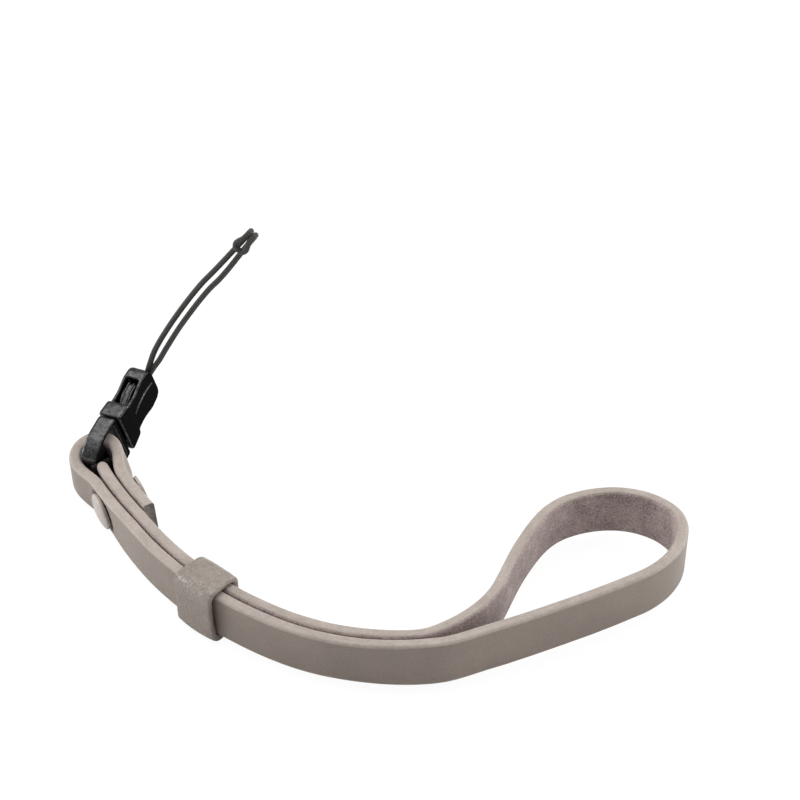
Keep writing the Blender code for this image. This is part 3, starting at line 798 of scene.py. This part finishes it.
def makeKeeper():
    # the crown swells the middle, and the mouth stands off at the end towards the hand loop
    inner = keeper["corner"] - keeper["thickness"]
    halfWide = (layerPitch + strip["thickness"]) / 2 + strip["gap"]
    halfHigh = strip["width"] / 2 + strip["gap"]
    halfTurn = keeper["length"] / 2 / run["secondRadius"]
    ring = addGrid("keeperSleeve", keeper["around"], keeper["rows"])
    for vert in ring.data.vertices:
        share, part = vert.co.x + 0.5, 2 * vert.co.y
        wide, high = roundedPoint(share, halfWide, halfHigh, inner)
        crown = keeper["crown"] * (1 - part ** 2)
        wide *= 1 + crown
        high *= 1 + crown / 2
        if wide > 0:
            wide += keeper["mouth"] * smoothStep(-part) * smoothStep(high / halfHigh - keeper["mouthFrom"])
        place, along, across = runFrame(keeper["angle"] + part * halfTurn)
        out = outSide(along, across)
        vert.co = place + out * (layerPitch / 2 + wide) + across * high
    weld(keeper["weld"])
    turnFacesOut()
    ring.data.materials.append(keeperLeather)
    ring.data.materials.append(fleshLeather)
    ring.data.materials.append(keeperLeather)
    shell = ring.modifiers.new("thickness", "SOLIDIFY")
    shell.thickness = keeper["thickness"]
    shell.offset = 1
    shell.use_even_offset = True
    shell.material_offset = 1
    shell.material_offset_rim = 2
    edge = ring.modifiers.new("soft edges", "BEVEL")
    edge.width = keeper["lip"]
    edge.segments = keeper["lipSteps"]
    edge.limit_method = "ANGLE"
    edge.angle_limit = keeper["lipAngle"]
    applyModifiers(ring)
    bpy.ops.object.shade_smooth_by_angle(angle=roundedAngle)
    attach(ring, "keeper")
    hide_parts("keeper")


makeKeeper()
print("keeper made")


# Buckle: the moulded solids with their edges worn round

moulding = {"voxel": 0.00014, "rounds": 44, "softness": 0.5, "weld": 0.000002, "foot": 1.6,
            "glossFrom": 0.72, "glossBlend": 0.2, "ribRadius": 0.00022, "ribSteps": 3}
# each rib's reach from the bar and height over the middle, and the distances at which it is made, in mm
ribs = {"prongRib": {"line": ((11.6, 2.9), (12.8, 3.35), (14.0, 3.7), (15.0, 3.75), (15.9, 3.7)),
                     "sides": (-0.5, 0.5)},
        "sideRib": {"line": ((18.7, 0.9), (16.6, 1.45), (14.6, 1.5), (12.6, 1.1), (11.4, 0.5)),
                    "sides": (-2.06, 2.06)}}


def makeMoulding(node, name):
    # the CAD solid with its edges worn round, its foot drawn out in the fold and its broad sides dulled
    piece = bpy.data.objects.new(name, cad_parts[node].data.copy())
    bpy.context.scene.collection.objects.link(piece)
    deselectAll()
    piece.select_set(True)
    bpy.context.view_layer.objects.active = piece
    weld(moulding["weld"])
    bpy.ops.object.mode_set(mode="OBJECT")
    skin = piece.modifiers.new("even skin", "REMESH")
    skin.mode = "VOXEL"
    skin.voxel_size = moulding["voxel"]
    soft = piece.modifiers.new("round edges", "SMOOTH")
    soft.factor = moulding["softness"]
    soft.iterations = moulding["rounds"]
    applyModifiers(piece)
    mesh = piece.data
    # marks the glossy faces, which also take the painted sparkle in their colour
    glossAndSparkle = mesh.attributes.new("glossAndSparkle", "FLOAT", "POINT")
    back = buckleFrame.inverted()
    for vert in mesh.vertices:
        local = back @ vert.co
        if local.y < 0:
            vert.co = buckleFrame @ Vector((local.x, local.y * moulding["foot"], local.z))
        facing = abs(vert.normal.dot(broadAxis))
        dull = smoothStep((facing - moulding["glossFrom"]) / moulding["glossBlend"])
        glossAndSparkle.data[vert.index].value = 1 - dull
    mesh.materials.clear()
    mesh.materials.append(plasticBlack)
    bpy.ops.object.shade_smooth()
    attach(piece, "strap")
    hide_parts(node)


def makeRib(name, line, side):
    # raised line on the buckle
    deselectAll()
    bpy.ops.curve.primitive_nurbs_path_add()
    rib = bpy.context.object
    rib.name = name
    for point, (reach, height) in zip(rib.data.splines[0].points, line):
        point.co = (*(buckleFrame @ (Vector((side, reach, height)) * mm)), 1)
    rib.data.splines[0].use_endpoint_u = True
    rib.data.bevel_depth = moulding["ribRadius"]
    rib.data.bevel_resolution = moulding["ribSteps"]
    rib.data.use_fill_caps = True
    bpy.ops.object.convert(target="MESH")
    rib = bpy.context.object
    # the ribs are glossy all over and take the painted sparkle too
    glossAndSparkle = rib.data.attributes.new("glossAndSparkle", "FLOAT", "POINT")
    for vert in rib.data.vertices:
        glossAndSparkle.data[vert.index].value = 1
    rib.data.materials.append(plasticBlack)
    bpy.ops.object.shade_smooth()
    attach(rib, "strap")


for kind, rib in ribs.items():
    for number, side in enumerate(rib["sides"], 1):
        makeRib(kind + str(number), rib["line"], side)
makeMoulding("buckle_plug", "buckleFork")
makeMoulding("buckle_socket", "buckleHousing")
print("buckle made")


# The rivet's caps keep their solids and take their paint

for node in ("rivet_front_cap", "rivet_back_cap"):
    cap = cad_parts[node]
    cap.data.materials.clear()
    cap.data.materials.append(rivetPaint)
print("rivet painted")


# Floor and light

studio = {"floor": -0.0500, "floorSize": 6, "floorColor": (0.86, 0.86, 0.86, 1), "world": 0.45, "plain": 0.9,
          "white": 1.04, "aim": (0.02, -0.03, -0.04)}
# name, place, size and power of each lamp
lamps = (("topSoftbox", (-0.12, 0.05, 0.52), 0.55, 2.8), ("leftSoftbox", (-0.62, 0.04, 0.14), 0.40, 2.5),
         ("rightSoftbox", (0.65, 0.00, 0.13), 0.40, 2.2), ("backSoftbox", (0.42, 0.42, 0.26), 0.30, 1.8))


def makeFloor():
    # the camera sees mostly plain white, and the rest keeps the strap's shadow
    deselectAll()
    bpy.ops.mesh.primitive_plane_add(size=studio["floorSize"], location=(0, 0, studio["floor"]))
    floor = bpy.context.object
    floor.name = "studioFloor"
    paint = Paint("studioWhite")
    paint.finish(color=studio["floorColor"], roughness=0.9)
    shaded = Wire(paint, paint.shader.outputs[0])
    plain = paint.add("ShaderNodeEmission", None, {"Color": (1, 1, 1, 1), "Strength": studio["white"]})
    rays = paint.add("ShaderNodeLightPath", output="Is Camera Ray")
    mixed = paint.add("ShaderNodeMixShader", None, (rays * studio["plain"], shaded, plain))
    paint.tree.links.new(mixed.socket, paint.tree.nodes["Material Output"].inputs["Surface"])
    floor.data.materials.append(paint.material)


def makeLights():
    for name, place, size, power in lamps:
        bpy.ops.object.light_add(type="AREA", location=place)
        lamp = bpy.context.object
        lamp.name = name
        lamp.data.size = size
        lamp.data.energy = power
        lamp.rotation_euler = (Vector(place) - Vector(studio["aim"])).to_track_quat("Z", "Y").to_euler()


def makeWorld():
    # lights the strap softly, and is white to the camera
    world = bpy.data.worlds.new("studioWorld")
    bpy.context.scene.world = world
    world.use_nodes = True
    tree = world.node_tree
    back = tree.nodes["Background"]
    back.inputs["Color"].default_value = (1, 1, 1, 1)
    back.inputs["Strength"].default_value = studio["world"]
    seen = tree.nodes.new("ShaderNodeBackground")
    seen.inputs["Color"].default_value = (1, 1, 1, 1)
    seen.inputs["Strength"].default_value = 1.0
    rays = tree.nodes.new("ShaderNodeLightPath")
    mixed = tree.nodes.new("ShaderNodeMixShader")
    tree.links.new(rays.outputs["Is Camera Ray"], mixed.inputs[0])
    tree.links.new(back.outputs[0], mixed.inputs[1])
    tree.links.new(seen.outputs[0], mixed.inputs[2])
    tree.links.new(mixed.outputs[0], tree.nodes["World Output"].inputs["Surface"])


makeFloor()
makeLights()
makeWorld()
bpy.context.scene.view_settings.view_transform = "Standard"
print("studio lit")
